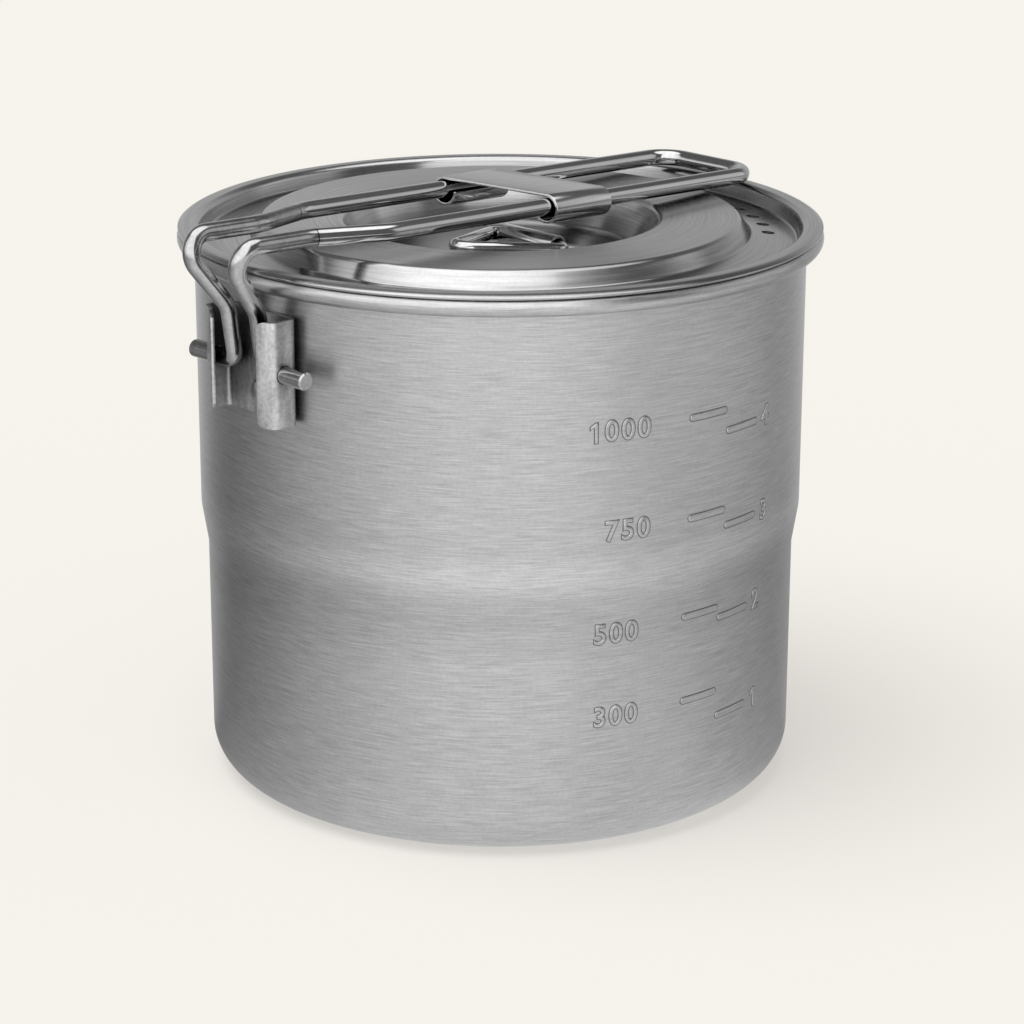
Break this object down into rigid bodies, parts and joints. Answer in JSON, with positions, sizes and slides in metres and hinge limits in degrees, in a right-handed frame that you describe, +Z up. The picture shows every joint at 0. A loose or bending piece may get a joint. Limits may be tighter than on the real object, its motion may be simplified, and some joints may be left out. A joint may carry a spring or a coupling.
{
  "type": "camping cooking pot",
  "caption": "Round steel camping pot with a sunken lid, a lifting ring on the lid and a wire handle that folds over the lid and carries a sliding clip.",
  "frame": {"origin": "centre of the flat base, on the surface that the pot stands on", "axes": "+Z up along the pot's axis; +X along the folded handle, away from its bracket; +Y to the left seen from the bracket"},
  "size_m": [0.1404, 0.1308, 0.1228],
  "materials": {
    "pot_steel": "fine satin, brushed round the wall",
    "lid_steel": "fine satin, brushed in circles",
    "bracket_steel": "satin",
    "rivet_steel": "satin",
    "leg_steel": "polished wire",
    "loop_steel": "polished wire",
    "clip_steel": "satin",
    "saddle_steel": "satin",
    "ring_steel": "polished wire"
  },
  "bodies": {
    "pot_body": {"pot": "pot_steel", "handle_bracket": "bracket_steel", "bracket_rivets": "rivet_steel"},
    "handle": {"handle_leg_right": "leg_steel", "handle_leg_left": "leg_steel", "handle_loop": "loop_steel"},
    "clip": {"slide_clip": "clip_steel"},
    "lid_body": {"lid": "lid_steel", "ring_saddle": "saddle_steel"},
    "ring": {"lid_ring": "ring_steel"}
  },
  "joints": [
    {"name": "handle_fold", "type": "hinge", "parent": "pot_body", "child": "handle", "pos_m": [-0.0654, 0, 0.0959], "axis": [0, -1, 0], "range_deg": [0, 163]},
    {"name": "lid_lift", "type": "slide", "parent": "pot_body", "child": "lid_body", "axis": [0, 0, 1], "range_m": [0, 0.038]},
    {"name": "ring_fold", "type": "hinge", "parent": "lid_body", "child": "ring", "pos_m": [0.0087, 0, 0.10845], "axis": [0, 1, 0], "range_deg": [0, 35]},
    {"name": "clip_slide", "type": "slide", "parent": "handle", "child": "clip", "axis": [0.9995, 0, -0.0304], "range_m": [-0.031, 0.012]}
  ],
  "couplings": [
    {"joint": "lid_lift", "follows": "handle_fold", "m_per_rad": 0.013}
  ]
}
